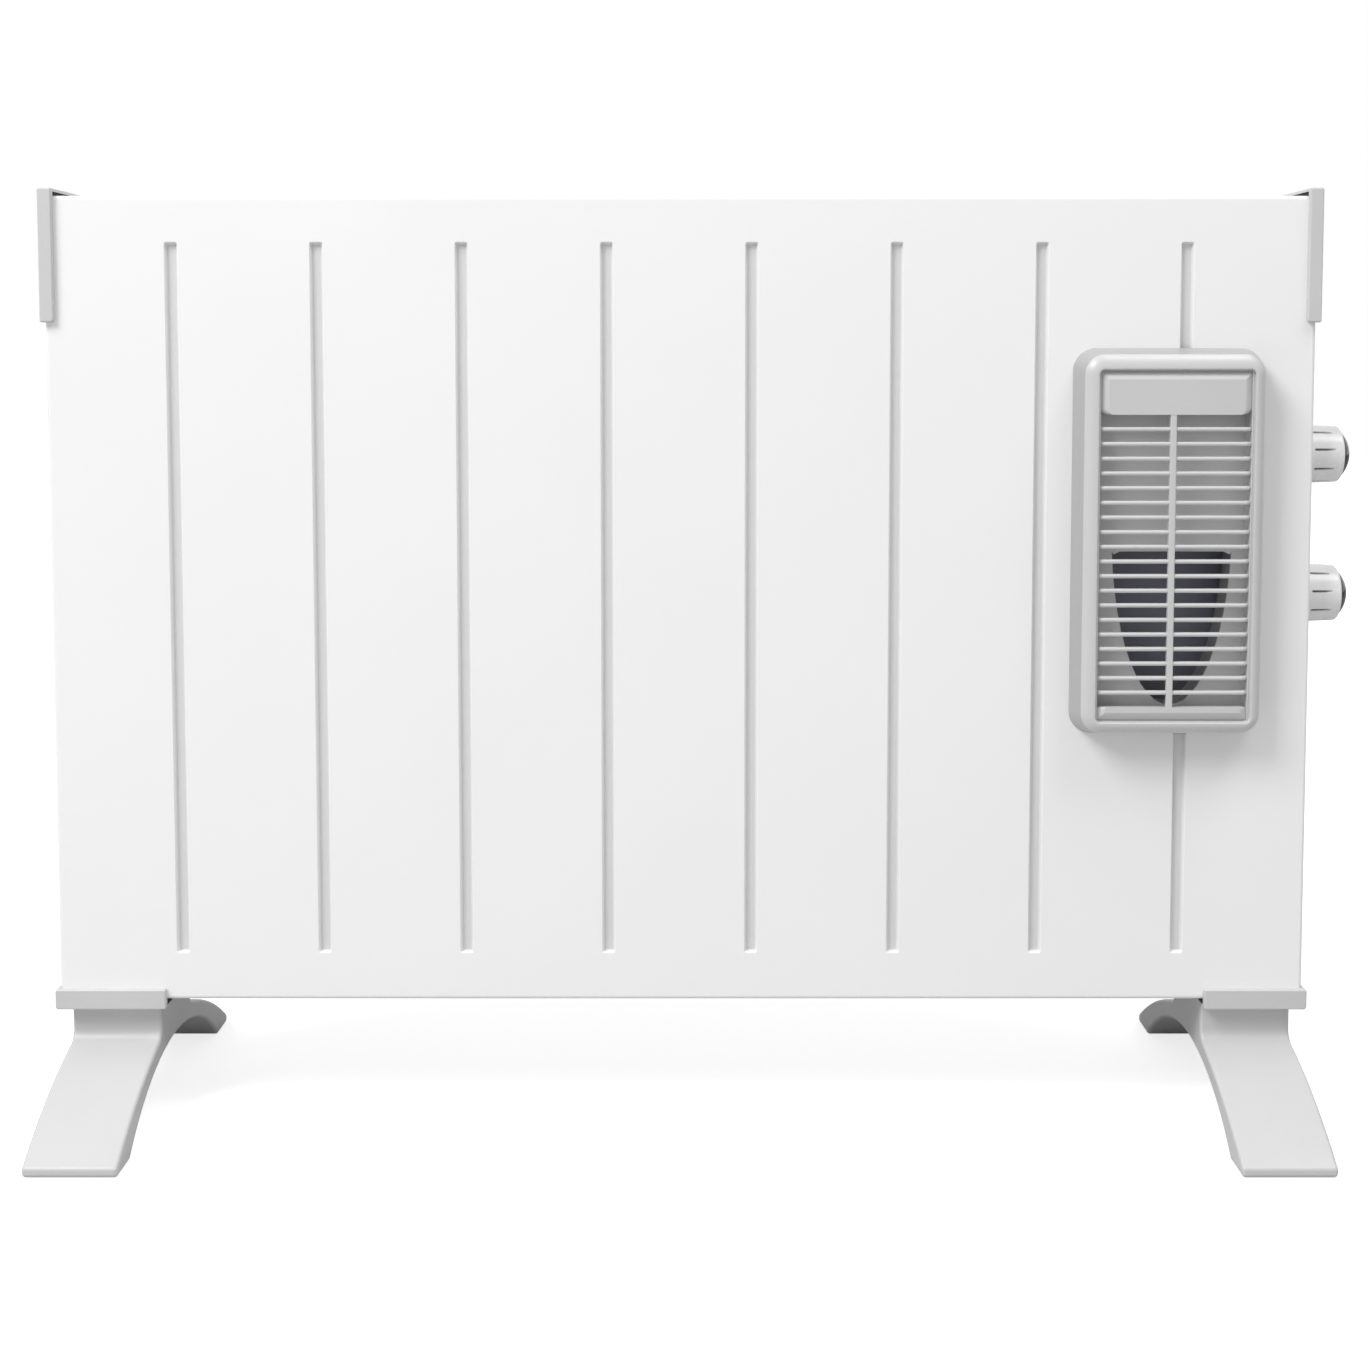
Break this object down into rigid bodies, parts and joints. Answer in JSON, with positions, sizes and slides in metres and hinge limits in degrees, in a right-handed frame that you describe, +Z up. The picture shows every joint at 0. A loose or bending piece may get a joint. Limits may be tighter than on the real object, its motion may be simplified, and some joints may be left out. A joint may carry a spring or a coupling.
{
  "type": "convector heater",
  "caption": "Free-standing electric convector heater with a grooved sheet-steel case, corner carrying clips, arched feet, a front blower with a slatted grille and two side knobs.",
  "frame": {"origin": "on the floor, under the middle of the bounding box", "axes": "+X to the heater's right seen from the front, towards the knobs; +Y from front to rear; +Z up"},
  "size_m": [0.6409, 0.205, 0.456],
  "materials": {
    "case_paint": "satin white powder coat",
    "control_plastic": "satin off-white moulding",
    "grey_plastic": "satin light grey moulding",
    "knob_plastic": "satin off-white moulding",
    "cap_plastic": "glossy black",
    "dark_plastic": "matt dark moulding",
    "blower_plastic": "matt mid grey moulding",
    "packing_rubber": "matt black",
    "steel": "zinc plated",
    "element_metal": "plain extruded",
    "bush_bronze": "plain turned",
    "coil_wrap": "varnished winding",
    "insulator_ceramic": "unglazed pale insulator",
    "wire_insulation": "heat-resistant sleeve"
  },
  "bodies": {
    "heater": {"front_panel": "case_paint", "rear_panel": "case_paint", "top_grille": "case_paint", "bottom_grille": "case_paint", "side_panel_left": "case_paint", "side_panel_right": "case_paint", "control_plate": "control_plastic", "handle_clip_left": "grey_plastic", "handle_clip_right": "grey_plastic", "clip_packing_left": "packing_rubber", "clip_packing_right": "packing_rubber", "foot_left": "grey_plastic", "foot_right": "grey_plastic", "foot_packing_left": "packing_rubber", "foot_packing_right": "packing_rubber", "fan_frame": "grey_plastic", "fan_grille": "grey_plastic", "blower_casing": "blower_plastic", "blower_backplate": "blower_plastic", "motor_stator": "steel", "motor_coil": "coil_wrap", "motor_front_bracket": "steel", "motor_rear_bracket": "steel", "motor_bushes": "bush_bronze", "thermostat_body": "dark_plastic", "power_switch_body": "dark_plastic", "control_nuts": "bush_bronze", "heating_element_front": "element_metal", "heating_element_rear": "element_metal", "element_insulators": "insulator_ceramic", "element_bracket_left": "steel", "element_bracket_right": "steel", "heat_reflector": "element_metal", "partition_plate": "steel", "thermal_cutout": "dark_plastic", "terminal_block": "insulator_ceramic", "cable_gland": "dark_plastic", "gland_nut": "dark_plastic", "wiring": "wire_insulation", "rear_screws": "steel", "control_plate_screws": "steel", "foot_screws": "steel", "foot_nuts": "steel", "blower_screws": "steel", "motor_screws": "steel"},
    "thermostat_control": {"thermostat_knob": "knob_plastic", "thermostat_cap": "cap_plastic", "thermostat_spindle": "steel"},
    "power_control": {"power_knob": "knob_plastic", "power_cap": "cap_plastic", "power_spindle": "steel"},
    "fan_rotor": {"impeller": "dark_plastic", "fan_shaft": "steel", "motor_rotor": "steel"}
  },
  "joints": [
    {"name": "thermostat_turn", "type": "hinge", "parent": "heater", "child": "thermostat_control", "pos_m": [0.29445, 0, 0.3267], "axis": [-1, 0, 0], "range_deg": [0, 280]},
    {"name": "power_turn", "type": "hinge", "parent": "heater", "child": "power_control", "pos_m": [0.29445, 0, 0.2571], "axis": [-1, 0, 0], "range_deg": [0, 270]},
    {"name": "fan_spin", "type": "hinge", "parent": "heater", "child": "fan_rotor", "pos_m": [0.22215, 0, 0.318], "axis": [0, -1, 0], "continuous": true}
  ]
}
